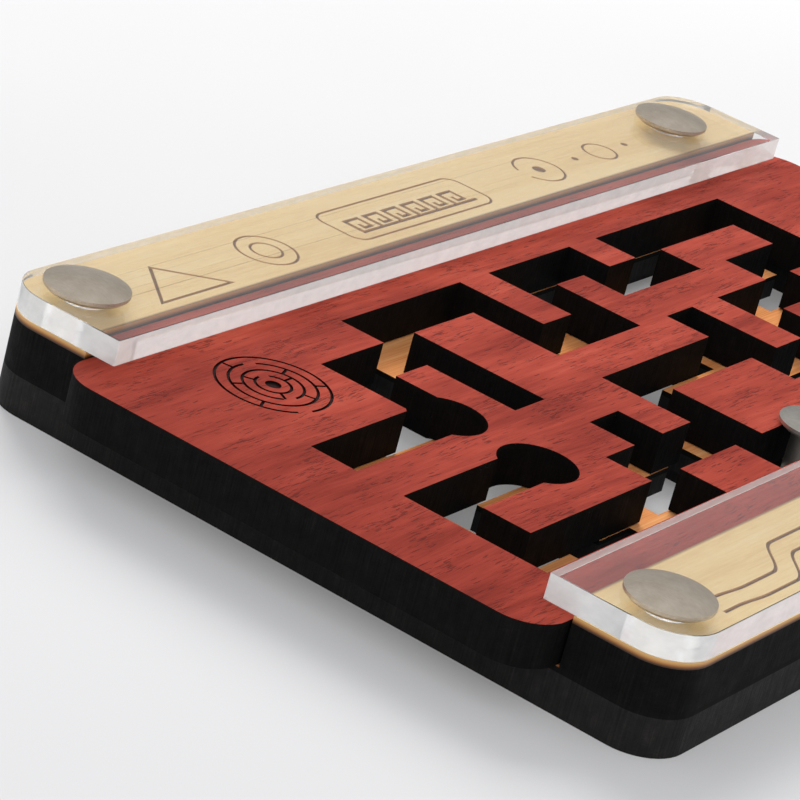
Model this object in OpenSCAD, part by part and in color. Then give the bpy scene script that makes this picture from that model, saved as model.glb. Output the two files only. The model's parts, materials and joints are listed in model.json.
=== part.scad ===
// Sliding two-layer labyrinth puzzle.
// A laminated maze plate slides along X between two rails, over a base
// sheet that has a second maze cut through it. A shouldered runner pin
// passes through both mazes. Clear covers, held by four binding posts,
// overhang the plate and keep it down. The runner's foot travels in a
// bottom board whose channels are wider.
// Millimetres. Origin: on the resting plane, under the middle of the maze
// plate. +X along the slide, +Y towards the back rail, +Z up.

/* [Maze grid] */
// Width of one channel, equal to the width of one wall
pitch = 6; // [5.6:0.1:6.6]
// Number of channel rows across the slide
rows = 8; // [8]
// Distance of the base's middle from the maze plate's middle
base_shift = 1; // [-3:0.5:14]

/* [Sheets] */
// Thickness of the bottom board, whose wider maze takes the runner's foot
back_t = 2; // [2:0.1:3.2]
// Thickness of the base board without its face veneer
base_t = 2.4; // [2.2:0.1:5]
// Thickness of the maze plate's board without its face veneer
plate_t = 4.4; // [3:0.1:6]
// Thickness of the face veneers
face_t = 0.6; // [0.4:0.1:1]
// Thickness of the pale inlay strips under the covers
inlay_t = 0.8; // [0.6:0.1:1.2]
// Thickness of the clear covers
cover_t = 3; // [2:0.5:4]
// Gap under the sliding plate
glide = 0.15; // [0.1:0.05:0.3]
// Gap between the sliding plate and each rail
side_gap = 0.3; // [0.2:0.05:0.5]

/* [Outline] */
// Corner radius of the base, rails and covers
corner_r = 5.5; // [4:0.5:10]
// Corner radius of the maze plate
plate_r = 5; // [3:0.5:6]
// How far the covers reach in over the plate
overhang = 3.7; // [2.5:0.1:5]
// Depth of the engraved lines
engrave = 0.25; // [0.1:0.05:0.35]
// Width of the engraved lines
line_w = 0.35; // [0.3:0.05:0.6]

/* [Binding posts] */
// Diameter of the post and screw heads
head_d = 9.6; // [9:0.2:10]
// Diameter of the post barrels
barrel_d = 5; // [4.6:0.1:5.2]
// Height of the domed post heads
head_h = 1.6; // [1.2:0.1:2]
// Height of the screw heads sunk in the bottom board
screw_h = 1.4; // [1.2:0.1:1.6]
// Distance of the posts from the base's long edges
post_in_y = 6.5; // [6:0.5:6.5]
// Distance of the left posts from the left end
post_in_left = 6.5; // [6:0.5:8]
// Distance of the right posts from the right end
post_in_right = 12.5; // [6:0.5:13]

/* [Runner] */
// Diameter of the runner's two heads
runner_head_d = 8.8; // [8:0.1:8.8]
// Diameter of the runner's barrel
runner_d = 5; // [4.6:0.1:5.2]
// Diameter of the two round bays at the ends of the maze
bay_d = 9.1; // [9:0.1:9.4]

/* [Hidden] */
$fn = 64;
eps = 0.01;
plate_cols = 21;
base_cols = 22;
first_col = -5;
base_l = base_cols * pitch + 9;
base_w = rows * pitch + 40;
plate_l = plate_cols * pitch + 24;
rail_in = rows * pitch / 2 + 7.3;
plate_w = 2 * (rail_in - side_gap);
cover_in = rail_in - side_gap + 0.2 - overhang;
z_base = back_t;
z_bface = z_base + base_t;
z_rail = z_bface + face_t;
rail_t = plate_t + face_t;
z_plate = z_rail + glide;
z_pface = z_plate + plate_t;
z_ptop = z_pface + face_t;
z_inlay = z_rail + rail_t;
z_cover = z_inlay + inlay_t;
z_head = z_cover + cover_t;
top_y = rows * pitch / 2;
post_y = base_w / 2 - post_in_y;
xl = -base_l / 2 + post_in_left;
xr = base_l / 2 - post_in_right;
hole_r = barrel_d / 2 + 0.05;
recess_r = head_d / 2 + 0.3;
foot_gap = 0.3;
relief = 1.7;
runner_x = base_shift - pitch / 2;
runner_y = top_y - 7.5 * pitch;
rim = 0.4;

// Channels as [first column, first row, cells]: along X, then along Y
plate_x = [[0,0,4],[5,0,3],[9,0,5],[-2,1,3],[7,1,3],[3,2,3],[11,2,3],
           [-5,3,4],[9,3,3],[3,4,5],[13,4,3],[-5,5,4],[7,5,5],[0,6,4],
           [-5,7,6],[3,7,6],[11,7,3]];
plate_y = [[-5,5,3],[-2,1,3],[0,0,4],[0,6,2],[1,5,2],[3,0,3],[3,4,4],
           [5,0,3],[7,0,2],[7,3,3],[9,0,2],[9,3,3],[11,2,2],[11,5,3],
           [13,0,3],[13,4,4],[15,4,4]];
base_x = [[-4,0,5],[7,0,6],[-2,2,3],[12,2,3],[5,3,3],[-4,4,6],[8,5,5],
          [-3,6,2],[1,6,3],[-2,7,2],[3,7,6]];
base_y = [[-4,0,3],[0,0,5],[-3,4,3],[-2,6,2],[1,4,3],[3,5,3],[5,3,5],
          [7,0,4],[8,5,3],[12,0,3],[12,5,3],[14,1,7]];

// ---- flat shapes ----

module round_rect(l, w, r) {
    square([l - 2 * r, w], center = true);
    square([l, w - 2 * r], center = true);
    for (x = [-1, 1], y = [-1, 1])
        translate([x * (l / 2 - r), y * (w / 2 - r)]) circle(r);
}

// side is +1 for the back strip, -1 for the front strip
module strip(y_in, side) {
    w = base_w / 2 - y_in;
    intersection() {
        round_rect(base_l, base_w, corner_r);
        translate([0, side * (y_in + w / 2 + 1)])
            square([base_l + 2, w + 2], center = true);
    }
}

module post_holes(side = 0) {
    for (x = [xl, xr], s = side == 0 ? [-1, 1] : [side])
        translate([x, s * post_y]) circle(hole_r);
}

// e widens every channel on all sides
module channels(along_x, along_y, e = 0) {
    for (c = along_x)
        translate([c[0] * pitch - e, -(c[1] + 1) * pitch - e])
            square([c[2] * pitch + 2 * e, pitch + 2 * e]);
    for (c = along_y)
        translate([c[0] * pitch - e, -(c[1] + c[2]) * pitch - e])
            square([pitch + 2 * e, c[2] * pitch + 2 * e]);
}

module base_maze(e = 0) {
    translate([-(first_col + base_cols / 2) * pitch, top_y])
        channels(base_x, base_y, e);
}

module plate_maze() {
    translate([-(first_col + plate_cols / 2) * pitch, top_y]) {
        channels(plate_x, plate_y);
        for (row = [3.5, 5.5])
            translate([-1.5 * pitch, -row * pitch]) circle(d = bay_d);
    }
}

module base_outline() {
    difference() {
        round_rect(base_l, base_w, corner_r);
        post_holes();
        base_maze();
    }
}

module back_outline() {
    difference() {
        round_rect(base_l, base_w, corner_r);
        for (x = [xl, xr], s = [-1, 1])
            translate([x, s * post_y]) circle(recess_r);
        base_maze(relief);
    }
}

module plate_outline() {
    difference() {
        round_rect(plate_l, plate_w, plate_r);
        plate_maze();
    }
}

// ---- engraved line marks ----

module ring(r) {
    difference() {
        circle(r + line_w / 2);
        circle(r - line_w / 2);
    }
}

// Ring with a straight gap of width g, turned to angle a
module open_ring(r, g, a) {
    difference() {
        ring(r);
        rotate(a) translate([0, -g / 2]) square([r + 1, g]);
    }
}

module bar(l, a) {
    rotate(a) translate([0, -line_w / 2]) square([l, line_w]);
}

module labyrinth_mark() {
    open_ring(6.4, 1.8, 250);
    open_ring(4.9, 1.6, 70);
    open_ring(3.4, 1.6, 250);
    open_ring(2, 1.3, 70);
    circle(0.9);
    for (a = [20, 150, 290])
        rotate(a) translate([3.4, 0]) bar(1.5, 0);
    for (a = [100, 205, 330])
        rotate(a) translate([4.9, 0]) bar(1.5, 0);
    for (a = [0, 120, 240])
        rotate(a) translate([2, 0]) bar(1.4, 0);
}

module triangle_line(w, h) {
    k = line_w * 1.2;
    difference() {
        polygon([[-w / 2, 0], [w / 2, 0], [0, h]]);
        polygon([[-w / 2 + 2.2 * k, k], [w / 2 - 2.2 * k, k],
                 [0, h - 1.6 * k]]);
    }
}

module panel_line(l, w, r) {
    difference() {
        round_rect(l, w, r);
        round_rect(l - 2 * line_w, w - 2 * line_w, r - line_w);
    }
}

// A row of square hooks, the classic key border
module key_border(n, s) {
    for (i = [0 : n - 1]) translate([i * s, 0]) {
        square([s * 0.16, s * 0.9]);
        translate([0, s * 0.76]) square([s * 0.8, s * 0.14]);
        translate([s * 0.66, s * 0.2]) square([s * 0.14, s * 0.7]);
        translate([s * 0.32, s * 0.2]) square([s * 0.46, s * 0.14]);
        translate([s * 0.32, s * 0.2]) square([s * 0.14, s * 0.32]);
    }
    square([n * s + s * 0.16, s * 0.14]);
}

// Height of a line that climbs by rise around x = at, over length run
function climb(x, at, run, rise) =
    let (t = max(0, min(1, (x - at) / run))) rise * t * t * (3 - 2 * t);

function stream(x, rise) = climb(x, -45.4, 5.8, rise)
    + climb(x, -30, 7, -0.8 * rise) + climb(x, -57, 6, -0.5);

// Wavy line from x0 to x1 whose middle is raised by rise
module stream_line(x0, x1, rise, slip) {
    h = line_w * 0.65;
    polygon(concat(
        [for (x = [x0 : 0.5 : x1]) [x, stream(x - slip, rise) + h]],
        [for (x = [x1 : -0.5 : x0]) [x, stream(x - slip, rise) - h]]));
}

module back_marks() {
    translate([-49.85, 32.8]) triangle_line(13.3, 7.3);
    translate([-32.2, 36.8]) { ring(3.7); ring(1.9); }
    translate([-4, 37]) panel_line(29, 7.8, 2);
    translate([-15.8, 34.6]) key_border(6, 3.9);
    translate([25.5, 37]) { open_ring(3.4, 2, 180); circle(0.9); }
    translate([40, 37]) ring(2.3);
    for (x = [34, 46]) translate([x, 37]) circle(0.5);
}

module front_marks() {
    translate([0, -38.7]) stream_line(-56.5, -12, 3.8, 0);
    translate([0, -41.1]) stream_line(-58.5, -12, 3.7, 0.9);
    translate([-2, -37.6]) {
        ring(3.7);
        for (a = [0 : 60 : 300]) rotate(a) translate([1.2, 0]) bar(2.5, 0);
    }
    translate([12, -41.2]) for (i = [0 : 3])
        translate([i * 5, 0]) triangle_line(4.6, 6.4);
    translate([42, -37.4]) { ring(3.6); ring(1.8); }
}

// ---- turned parts ----

// Domed disc head, its flat underside at z = 0
module dome_head(d, h) {
    dome = h - 2 * rim;
    ball = (d * d / 4 + dome * dome) / (2 * dome);
    cylinder(d1 = d - 0.9, d2 = d, h = rim);
    translate([0, 0, rim]) cylinder(d = d, h = rim);
    intersection() {
        translate([0, 0, h - ball]) sphere(ball);
        translate([0, 0, 2 * rim]) cylinder(d = d, h = dome + 1);
    }
}

// Head above z, hollow barrel of length len below it
module post(d, bd, h, len) {
    translate([0, 0, 0]) dome_head(d, h);
    translate([0, 0, -len]) difference() {
        cylinder(d = bd, h = len);
        translate([0, 0, -1]) cylinder(r = bd / 2 - 0.5, h = len);
    }
}

// Slotted disc head of height h standing on z = 0, with its shank above
module slot_screw(d, bd, h, len) {
    difference() {
        union() {
            cylinder(d1 = d - 0.8, d2 = d, h = 0.4);
            translate([0, 0, 0.4]) cylinder(d = d, h = h - 0.4);
        }
        translate([-d, -0.5, -1]) cube([2 * d, 1, 1.5]);
    }
    translate([0, 0, h]) cylinder(r = bd / 2 - 0.55, h = len);
}

// ---- pieces ----

module base_back() {
    color([0.1, 0.09, 0.09]) translate([base_shift, 0, 0])
        linear_extrude(back_t) back_outline();
}

module base_board() {
    color([0.13, 0.12, 0.11]) translate([base_shift, 0, z_base])
        linear_extrude(base_t) base_outline();
}

module base_face() {
    color([0.78, 0.62, 0.42]) translate([base_shift, 0, z_bface])
        linear_extrude(face_t) base_outline();
}

module rail(side) {
    color([0.1, 0.09, 0.09]) translate([base_shift, 0, z_rail])
        linear_extrude(rail_t) difference() {
            strip(rail_in, side);
            post_holes(side);
        }
}

module rail_back() { rail(1); }
module rail_front() { rail(-1); }

module maze_board() {
    color([0.09, 0.08, 0.08]) translate([0, 0, z_plate])
        linear_extrude(plate_t) plate_outline();
}

module maze_face() {
    color([0.66, 0.27, 0.2]) translate([0, 0, z_pface]) difference() {
        linear_extrude(face_t) plate_outline();
        translate([-54.6, 17.3, face_t - engrave])
            linear_extrude(engrave + 1) labyrinth_mark();
    }
}

module inlay(side) {
    color([0.92, 0.84, 0.66]) translate([base_shift, 0, z_inlay]) difference() {
        linear_extrude(inlay_t) difference() {
            strip(rail_in, side);
            post_holes(side);
        }
        translate([0, 0, inlay_t - engrave]) linear_extrude(engrave + 1)
            if (side > 0) back_marks(); else front_marks();
    }
}

module inlay_back() { inlay(1); }
module inlay_front() { inlay(-1); }

module cover(side) {
    color([0.9, 0.94, 0.95, 0.35]) translate([base_shift, 0, z_cover])
        linear_extrude(cover_t) difference() {
            strip(cover_in, side);
            post_holes(side);
        }
}

module cover_back() { cover(1); }
module cover_front() { cover(-1); }

module post_at(x, y) {
    color([0.75, 0.73, 0.7]) translate([base_shift + x, y, z_head])
        post(head_d, barrel_d, head_h, z_head - z_base - 0.2);
}

module post_back_left() { post_at(xl, post_y); }
module post_back_right() { post_at(xr, post_y); }
module post_front_left() { post_at(xl, -post_y); }
module post_front_right() { post_at(xr, -post_y); }

module screw_at(x, y) {
    color([0.7, 0.69, 0.67]) translate([base_shift + x, y, z_base - screw_h])
        slot_screw(head_d, barrel_d, screw_h, 8);
}

module screw_back_left() { screw_at(xl, post_y); }
module screw_back_right() { screw_at(xr, post_y); }
module screw_front_left() { screw_at(xl, -post_y); }
module screw_front_right() { screw_at(xr, -post_y); }

module runner_post() {
    color([0.8, 0.79, 0.77])
        translate([runner_x, runner_y, z_ptop + 0.2])
            post(runner_head_d, runner_d, 1.4,
                 z_ptop + 0.2 - z_base + foot_gap - 0.1);
}

module runner_screw() {
    color([0.76, 0.75, 0.73])
        translate([runner_x, runner_y, z_base - foot_gap - 1])
            slot_screw(runner_head_d, runner_d, 1, 7);
}

base_back();
base_board();
base_face();
rail_back();
rail_front();
maze_board();
maze_face();
inlay_back();
inlay_front();
cover_back();
cover_front();
post_back_left();
post_back_right();
post_front_left();
post_front_right();
screw_back_left();
screw_back_right();
screw_front_left();
screw_front_right();
runner_post();
runner_screw();
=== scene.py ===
import json
import math
import bpy
from mathutils import Matrix, Vector

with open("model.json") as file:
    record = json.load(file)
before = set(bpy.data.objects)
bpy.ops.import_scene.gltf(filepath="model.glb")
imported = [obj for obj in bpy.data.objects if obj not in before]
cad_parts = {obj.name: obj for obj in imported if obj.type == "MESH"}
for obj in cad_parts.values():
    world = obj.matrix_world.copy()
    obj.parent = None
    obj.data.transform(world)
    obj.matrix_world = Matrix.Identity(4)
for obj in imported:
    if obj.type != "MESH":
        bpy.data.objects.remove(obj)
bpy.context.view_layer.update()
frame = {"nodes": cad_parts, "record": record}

NODES = frame["nodes"]
MM = 0.001
scene = bpy.context.scene
scene.view_settings.view_transform = "Standard"
scene.view_settings.look = "None"


# ---------------------------------------------------------------- camera
def look():
    cam = bpy.data.cameras.new("view_camera")
    cam.lens = 175.1
    cam.sensor_width = 36.0
    cam.clip_start, cam.clip_end = 0.01, 30.0
    cam.dof.use_dof = False
    obj = bpy.data.objects.new("view_camera", cam)
    scene.collection.objects.link(obj)
    right = Vector((0.56202898, -0.79150225, 0.24009917))
    up = Vector((0.20280255, 0.41329433, 0.88772683))
    back = Vector((-0.80186941, -0.45023548, 0.39280207))
    m = Matrix((right, up, back)).transposed().to_4x4()
    m.translation = Vector((-0.37697, -0.17901, 0.17334))
    obj.matrix_world = m
    scene.camera = obj


look()


# ---------------------------------------------------------------- materials
def lin(r, g, b):
    out = []
    for c in (r, g, b):
        c /= 255.0
        out.append(c / 12.92 if c <= 0.04045 else ((c + 0.055) / 1.055) ** 2.4)
    return (*out, 1.0)


class Nodes:
    """A thin wrapper that builds one procedural material."""

    def __init__(self, name):
        self.mat = bpy.data.materials.new(name)
        self.mat.use_nodes = True
        self.nt = self.mat.node_tree
        self.nt.nodes.clear()
        self.out = self.nt.nodes.new("ShaderNodeOutputMaterial")
        self.bsdf = self.nt.nodes.new("ShaderNodeBsdfPrincipled")
        self.link(self.bsdf.outputs[0], self.out.inputs["Surface"])
        self.tex = self.nt.nodes.new("ShaderNodeTexCoord")
        # the object's own coordinates, in millimetres
        self.mm = self.vmath("SCALE", self.tex.outputs["Object"], scale=1000.0)
        sep = self.nt.nodes.new("ShaderNodeSeparateXYZ")
        self.link(self.mm, sep.inputs[0])
        self.x, self.y, self.z = sep.outputs
        nor = self.nt.nodes.new("ShaderNodeSeparateXYZ")
        geo = self.nt.nodes.new("ShaderNodeTexCoord")
        self.link(geo.outputs["Normal"], nor.inputs[0])
        self.nx, self.ny, self.nz = nor.outputs

    def link(self, a, b):
        self.nt.links.new(a, b)

    def put(self, socket, value):
        if hasattr(value, "default_value") or hasattr(value, "links"):
            self.link(value, socket)
        else:
            socket.default_value = value

    def set(self, name, value):
        self.put(self.bsdf.inputs[name], value)

    def vmath(self, op, a, b=None, scale=None):
        n = self.nt.nodes.new("ShaderNodeVectorMath")
        n.operation = op
        self.put(n.inputs[0], a)
        if b is not None:
            self.put(n.inputs[1], b)
        if scale is not None:
            n.inputs["Scale"].default_value = scale
        return n.outputs[0]

    def math(self, op, a, b=None, clamp=False):
        n = self.nt.nodes.new("ShaderNodeMath")
        n.operation = op
        n.use_clamp = clamp
        self.put(n.inputs[0], a)
        if b is not None:
            self.put(n.inputs[1], b)
        return n.outputs[0]

    def stretch(self, sx, sy, sz, offset=(0.0, 0.0, 0.0)):
        """Coordinates for a pattern whose features are about sx by sy by sz mm."""
        v = self.vmath("MULTIPLY", self.mm, (1.0 / sx, 1.0 / sy, 1.0 / sz))
        return self.vmath("ADD", v, offset)

    def noise(self, vec, detail=4.0, rough=0.55, distort=0.0, scale=1.0):
        n = self.nt.nodes.new("ShaderNodeTexNoise")
        n.noise_dimensions = "3D"
        self.put(n.inputs["Vector"], vec)
        n.inputs["Scale"].default_value = scale
        n.inputs["Detail"].default_value = detail
        n.inputs["Roughness"].default_value = rough
        n.inputs["Distortion"].default_value = distort
        return n.outputs["Fac"]

    def voronoi(self, vec, feature="F1", randomness=1.0):
        n = self.nt.nodes.new("ShaderNodeTexVoronoi")
        n.feature = feature
        self.put(n.inputs["Vector"], vec)
        n.inputs["Scale"].default_value = 1.0
        n.inputs["Randomness"].default_value = randomness
        return n

    def step(self, value, lo, hi, a=0.0, b=1.0):
        n = self.nt.nodes.new("ShaderNodeMapRange")
        n.interpolation_type = "SMOOTHSTEP"
        self.put(n.inputs["Value"], value)
        n.inputs["From Min"].default_value = lo
        n.inputs["From Max"].default_value = hi
        n.inputs["To Min"].default_value = a
        n.inputs["To Max"].default_value = b
        return n.outputs[0]

    def ramp(self, fac, stops):
        n = self.nt.nodes.new("ShaderNodeValToRGB")
        e = n.color_ramp.elements
        while len(e) < len(stops):
            e.new(0.5)
        for el, (p, c) in zip(e, stops):
            el.position, el.color = p, c
        self.link(fac, n.inputs[0])
        return n.outputs[0]

    def mix(self, fac, a, b, blend="MIX"):
        n = self.nt.nodes.new("ShaderNodeMix")
        n.data_type = "RGBA"
        n.blend_type = blend
        n.clamp_factor = True
        self.put(n.inputs[0], fac)
        self.put(n.inputs[6], a)
        self.put(n.inputs[7], b)
        return n.outputs[2]

    def bump(self, height, strength, distance, normal=None):
        n = self.nt.nodes.new("ShaderNodeBump")
        n.inputs["Strength"].default_value = strength
        n.inputs["Distance"].default_value = distance
        self.link(height, n.inputs["Height"])
        if normal is not None:
            self.link(normal, n.inputs["Normal"])
        return n.outputs[0]


def soot(m, shade=1.0, face=None):
    """Colour and height of a laser-cut, charred side of a fibre board."""
    striae = m.noise(m.stretch(0.22, 0.22, 7.0), 3.0, 0.6)
    mottle = m.noise(m.stretch(1.6, 1.6, 1.6), 4.0, 0.6)
    fibre = m.noise(m.stretch(0.5, 0.5, 0.18), 3.0, 0.7)
    f = m.math("ADD", m.math("MULTIPLY", striae, 0.45), m.math("MULTIPLY", mottle, 0.35))
    f = m.math("ADD", f, m.math("MULTIPLY", fibre, 0.2))
    s = shade
    col = m.ramp(f, [(0.32, (0.0022 * s, 0.0020 * s, 0.0019 * s, 1)),
                     (0.55, (0.0058 * s, 0.0052 * s, 0.0049 * s, 1)),
                     (0.78, (0.015 * s, 0.0125 * s, 0.011 * s, 1))])
    return col, f


def red_wood():
    m = Nodes("red_veneer_wood")
    warp = m.noise(m.stretch(42, 18, 30), 2.0)
    wy = m.math("ADD", m.y, m.math("MULTIPLY", warp, 3.0))
    comb = m.nt.nodes.new("ShaderNodeCombineXYZ")
    m.link(m.x, comb.inputs[0]); m.link(wy, comb.inputs[1]); m.link(m.z, comb.inputs[2])
    base = comb.outputs[0]

    def st(sx, sy, off=0.0):
        v = m.vmath("MULTIPLY", base, (1 / sx, 1 / sy, 0.05))
        return m.vmath("ADD", v, (off, off * 1.7, off * 0.3))
    blotch = m.noise(st(22, 9, 5.0), 3.0, 0.55)
    broad = m.noise(st(46, 4.5), 3.0, 0.5)
    streak = m.noise(st(13, 0.8, 3.1), 3.0, 0.55)
    fine = m.noise(st(5.0, 0.16, 7.7), 3.0, 0.6)
    f = m.math("ADD", m.math("MULTIPLY", blotch, 0.34), m.math("MULTIPLY", broad, 0.26))
    f = m.math("ADD", f, m.math("MULTIPLY", streak, 0.24))
    f = m.math("ADD", f, m.math("MULTIPLY", fine, 0.16))
    face = m.ramp(f, [(0.34, lin(112, 36, 27)), (0.44, lin(146, 52, 39)),
                      (0.54, lin(171, 67, 51)), (0.66, lin(194, 86, 66))])
    # the face colour is darker towards the sheet's left end
    deep = m.step(m.x, -74, -44, 0.55, 0.0)
    face = m.mix(deep, face, m.ramp(f, [(0.34, lin(92, 24, 15)), (0.54, lin(140, 46, 32)), (0.66, lin(160, 60, 44))]))
    # pores: short dark dashes that follow the grain, gathered in patches
    dash = m.noise(st(1.5, 0.16, 13.0), 1.0, 0.4)
    where = m.noise(st(9, 3.0, 21.0), 2.0, 0.5)
    pore = m.math("MULTIPLY", m.step(dash, 0.56, 0.66), m.step(where, 0.46, 0.60))
    dash2 = m.noise(st(2.6, 0.26, 31.0), 1.0, 0.4)
    pore2 = m.step(dash2, 0.66, 0.73)
    pores = m.math("MAXIMUM", pore, pore2)
    face = m.mix(m.math("MULTIPLY", pores, 0.62), face, lin(74, 24, 19))
    # engraved emblem: the groove floor is burnt
    cut = m.math("MULTIPLY", m.step(m.z, 10.15 - 0.15, 10.15 - 0.09, 1.0, 0.0), m.step(m.nz, 0.4, 0.7))
    face = m.mix(cut, face, lin(38, 18, 16))
    side_col, side_f = soot(m)
    side = m.step(m.nz, 0.35, 0.6, 1.0, 0.0)
    m.set("Base Color", m.mix(side, face, side_col))
    m.set("Roughness", m.mix(side, m.ramp(f, [(0.3, (0.52, 0.52, 0.52, 1)), (0.7, (0.40, 0.40, 0.40, 1))]), (0.8, 0.8, 0.8, 1)))
    m.bsdf.inputs["Specular IOR Level"].default_value = 0.10
    h = m.math("SUBTRACT", m.math("MULTIPLY", fine, 0.5), pores)
    m.set("Normal", m.bump(h, 0.5, 0.00006))
    return m.mat


def black_board(name, shade, gloss=0.08):
    m = Nodes(name)
    col, f = soot(m, shade)
    m.set("Base Color", col)
    m.set("Roughness", m.ramp(f, [(0.3, (0.85, 0.85, 0.85, 1)), (0.75, (0.55, 0.55, 0.55, 1))]))
    m.bsdf.inputs["Specular IOR Level"].default_value = gloss
    m.set("Normal", m.bump(f, 0.6, 0.00012))
    return m.mat


def light_wood():
    m = Nodes("light_veneer_wood")
    broad = m.noise(m.stretch(40, 3.5, 40), 3.0, 0.5)
    fine = m.noise(m.stretch(9, 0.25, 9, (5.0, 2.0, 1.0)), 3.0, 0.6)
    f = m.math("ADD", m.math("MULTIPLY", broad, 0.55), m.math("MULTIPLY", fine, 0.45))
    face = m.ramp(f, [(0.34, lin(208, 126, 68)), (0.52, lin(240, 160, 98)), (0.68, lin(250, 190, 130))])
    side_col, side_f = soot(m)
    side = m.step(m.nz, 0.35, 0.6, 1.0, 0.0)
    m.set("Base Color", m.mix(side, face, side_col))
    m.set("Roughness", m.mix(side, (0.6, 0.6, 0.6, 1), (0.85, 0.85, 0.85, 1)))
    m.bsdf.inputs["Specular IOR Level"].default_value = 0.12
    m.set("Normal", m.bump(fine, 0.35, 0.00005))
    return m.mat


def maple():
    m = Nodes("maple_inlay_wood")
    broad = m.noise(m.stretch(55, 4.0, 55), 3.0, 0.5, 0.4)
    ray = m.noise(m.stretch(2.4, 0.5, 9, (3.0, 8.0, 1.0)), 2.0, 0.5)
    fine = m.noise(m.stretch(11, 0.22, 9, (9.0, 4.0, 2.0)), 3.0, 0.6)
    f = m.math("ADD", m.math("MULTIPLY", broad, 0.45), m.math("MULTIPLY", fine, 0.35))
    f = m.math("ADD", f, m.math("MULTIPLY", ray, 0.2))
    face = m.ramp(f, [(0.33, lin(238, 198, 136)), (0.5, lin(251, 217, 158)), (0.68, lin(254, 230, 182))])
    top = 10.8
    cut = m.math("MULTIPLY", m.step(m.z, top - 0.18, top - 0.10, 1.0, 0.0), m.step(m.nz, 0.4, 0.7))
    burn = m.noise(m.stretch(0.7, 0.7, 0.7), 3.0, 0.6)
    line = m.ramp(burn, [(0.3, lin(98, 62, 34)), (0.7, lin(146, 102, 62))])
    face = m.mix(cut, face, line)
    # the laser leaves a thin scorched line along the inner edge
    ay = m.math("ABSOLUTE", m.y)
    edge = m.step(ay, 31.3, 31.75, 1.0, 0.0)
    face = m.mix(m.math("MULTIPLY", edge, 0.85), face, lin(104, 66, 40))
    side = m.step(m.nz, 0.35, 0.6, 1.0, 0.0)
    rise = m.step(m.z, 10.02, 10.75)
    amber = m.ramp(rise, [(0.0, lin(58, 32, 14)), (0.4, lin(170, 108, 48)), (1.0, lin(226, 176, 108))])
    m.set("Base Color", m.mix(side, face, amber))
    m.bsdf.inputs["Roughness"].default_value = 0.5
    m.set("Normal", m.bump(fine, 0.3, 0.00004))
    return m.mat


def acrylic():
    m = Nodes("clear_cover_acrylic")
    b = m.bsdf
    b.inputs["IOR"].default_value = 1.49
    # polished faces are clear; the cut sides are whiter and a little rough
    side = m.step(m.math("ABSOLUTE", m.nz), 0.30, 0.55, 1.0, 0.0)
    striae = m.noise(m.stretch(0.35, 0.35, 9.0), 3.0, 0.55)
    frost_and_glow = m.noise(m.stretch(3.5, 3.5, 2.0), 3.0, 0.55)
    smear = m.noise(m.stretch(9, 7, 9), 3.0, 0.6)
    m.set("Base Color", m.mix(side, (0.985, 0.992, 0.99, 1), m.ramp(frost_and_glow, [(0.3, (0.95, 0.97, 0.98, 1)), (0.7, (1.0, 1.0, 1.0, 1))])))
    haze = m.math("ADD", m.math("MULTIPLY", frost_and_glow, 0.26), 0.36)
    m.set("Transmission Weight", m.math("SUBTRACT", 1.0, m.math("MULTIPLY", side, haze)))
    rough = m.math("ADD", m.math("MULTIPLY", side, 0.07), m.step(smear, 0.45, 0.75, 0.008, 0.035))
    # painted glow: the cut sides emit light of their own, standing in for light gathered by the clear sheet and
    # leaving at its edges; the frost noise also varies the glow's strength
    m.bsdf.inputs["Emission Color"].default_value = (1.0, 0.98, 0.95, 1.0)
    m.set("Emission Strength", m.math("MULTIPLY", side, m.math("ADD", m.math("MULTIPLY", frost_and_glow, 0.07), 0.09)))
    m.set("Roughness", rough)
    h = m.math("MULTIPLY", striae, side)
    m.set("Normal", m.bump(h, 0.3, 0.00003))
    lamp = m.nt.nodes.new("ShaderNodeLightPath")
    clear = m.nt.nodes.new("ShaderNodeBsdfTransparent")
    clear.inputs[0].default_value = (0.9, 0.92, 0.92, 1)
    mix = m.nt.nodes.new("ShaderNodeMixShader")
    m.link(lamp.outputs["Is Shadow Ray"], mix.inputs[0])
    m.link(b.outputs[0], mix.inputs[1])
    m.link(clear.outputs[0], mix.inputs[2])
    m.link(mix.outputs[0], m.out.inputs["Surface"])
    return m.mat


def metal(name, tone):
    m = Nodes(name)
    b = m.bsdf
    b.inputs["Metallic"].default_value = 1.0
    cloud = m.noise(m.stretch(2.2, 2.2, 2.2), 4.0, 0.6)
    fine = m.noise(m.stretch(0.10, 0.9, 0.4), 3.0, 0.6)
    fine2 = m.noise(m.stretch(0.8, 0.09, 0.4, (4.0, 1.0, 2.0)), 3.0, 0.6)
    f = m.math("ADD", m.math("MULTIPLY", cloud, 0.6), m.math("MULTIPLY", fine, 0.4))
    r, g, bl = tone
    m.set("Base Color", m.ramp(f, [(0.3, lin(r - 26, g - 28, bl - 30)), (0.7, lin(r, g, bl))]))
    m.set("Roughness", m.ramp(f, [(0.3, (0.56, 0.56, 0.56, 1)), (0.7, (0.44, 0.44, 0.44, 1))]))
    m.set("Normal", m.bump(m.math("ADD", fine, fine2), 0.18, 0.00002))
    return m.mat


MATS = {
    "dark_board": black_board("dark_board_charred", 2.3, 0.22),
    "light_veneer": light_wood(),
    "black_board": black_board("black_board_charred", 1.0),
    "red_veneer": red_wood(),
    "maple_inlay": maple(),
    "clear_cover": acrylic(),
    "satin_metal": metal("satin_post_metal", (226, 214, 197)),
    "runner_metal": metal("satin_runner_metal", (208, 203, 194)),
}
for part in frame["record"]["subparts"]:
    node = NODES[part["node"]]
    mat = MATS[part["material_slot"]]
    if not node.material_slots:
        node.data.materials.append(mat)
    for s in node.material_slots:
        s.material = mat


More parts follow.
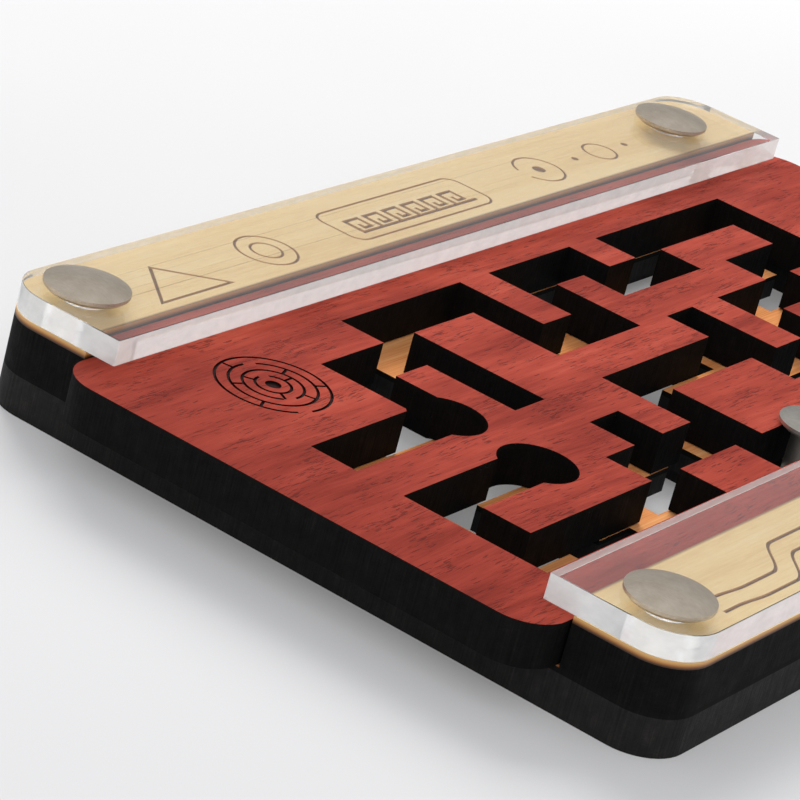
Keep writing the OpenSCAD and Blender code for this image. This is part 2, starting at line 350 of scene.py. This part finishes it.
# ---------------------------------------------------------------- edges
def soften(name, width, segments=2, shrink=0.0, angle=35.0):
    """Joins the mesh's seams and rounds its sharp edges a little."""
    o = NODES[name]
    w = o.modifiers.new("weld", "WELD")
    w.merge_threshold = 1e-6
    if shrink:
        d = o.modifiers.new("inset", "DISPLACE")
        d.direction = "NORMAL"
        d.mid_level = 0.0
        d.strength = -shrink
    if width:
        b = o.modifiers.new("edge", "BEVEL")
        b.width = width
        b.segments = segments
        b.limit_method = "ANGLE"
        b.angle_limit = math.radians(angle)
        b.harden_normals = False
        b.use_clamp_overlap = True
    e = o.modifiers.new("crisp", "EDGE_SPLIT")
    e.split_angle = math.radians(30)


for n in ("cover_back", "cover_front"):
    soften(n, 0.00010, 2, 0.00002)
soften("maze_face", 0.00007, 1)


# ---------------------------------------------------------------- stage
def floor():
    me = bpy.data.meshes.new("floor")
    s = 4.0
    me.from_pydata([(-s, -s, -0.00005), (s, -s, -0.00005), (s, s, -0.00005), (-s, s, -0.00005)], [], [(0, 1, 2, 3)])
    o = bpy.data.objects.new("floor", me)
    scene.collection.objects.link(o)
    m = Nodes("floor_pale")
    f = m.noise(m.stretch(160, 160, 160), 2.0, 0.5)
    m.set("Base Color", m.ramp(f, [(0.3, lin(202, 202, 203)), (0.7, lin(208, 208, 209))]))
    m.bsdf.inputs["Roughness"].default_value = 0.8
    m.bsdf.inputs["Specular IOR Level"].default_value = 0.2
    m.bsdf.inputs["Emission Color"].default_value = (1.0, 0.985, 0.97, 1)
    m.bsdf.inputs["Emission Strength"].default_value = 0.16
    me.materials.append(m.mat)


floor()


def area(name, place, target, size, power, color=(1, 1, 1)):
    light = bpy.data.lights.new(name, "AREA")
    light.shape = "RECTANGLE"
    light.size, light.size_y = size
    light.energy = power
    light.color = color
    o = bpy.data.objects.new(name, light)
    o.location = place
    d = Vector(target) - Vector(place)
    o.rotation_euler = d.to_track_quat("-Z", "Y").to_euler()
    scene.collection.objects.link(o)
    return o


key = area("key", (0.62, 0.62, 0.66), (0, 0, 0), (0.6, 0.6), 11.5, (1.0, 0.985, 0.965))
key.visible_glossy = False
key.visible_transmission = False
area("fill", (-0.95, -0.55, 0.80), (0, 0, 0), (1.0, 0.8), 3.2, (0.97, 0.98, 1.0))
world = bpy.data.worlds.new("studio")
world.use_nodes = True
bg = world.node_tree.nodes["Background"]
bg.inputs[0].default_value = (0.93, 0.95, 1.0, 1)
bg.inputs[1].default_value = 1.0
# a studio sky, brighter overhead than at the horizon
sky = world.node_tree.nodes.new("ShaderNodeTexCoord")
sky_sep = world.node_tree.nodes.new("ShaderNodeSeparateXYZ")
sky_ramp = world.node_tree.nodes.new("ShaderNodeValToRGB")
world.node_tree.links.new(sky.outputs["Generated"], sky_sep.inputs[0])
world.node_tree.links.new(sky_sep.outputs["Z"], sky_ramp.inputs[0])
sky_ramp.color_ramp.elements[0].position = 0.15
sky_ramp.color_ramp.elements[0].color = (0.33, 0.335, 0.35, 1.0)
sky_ramp.color_ramp.elements[1].position = 0.90
sky_ramp.color_ramp.elements[1].color = (0.70, 0.71, 0.73, 1.0)
world.node_tree.links.new(sky_ramp.outputs[0], bg.inputs[0])
scene.world = world
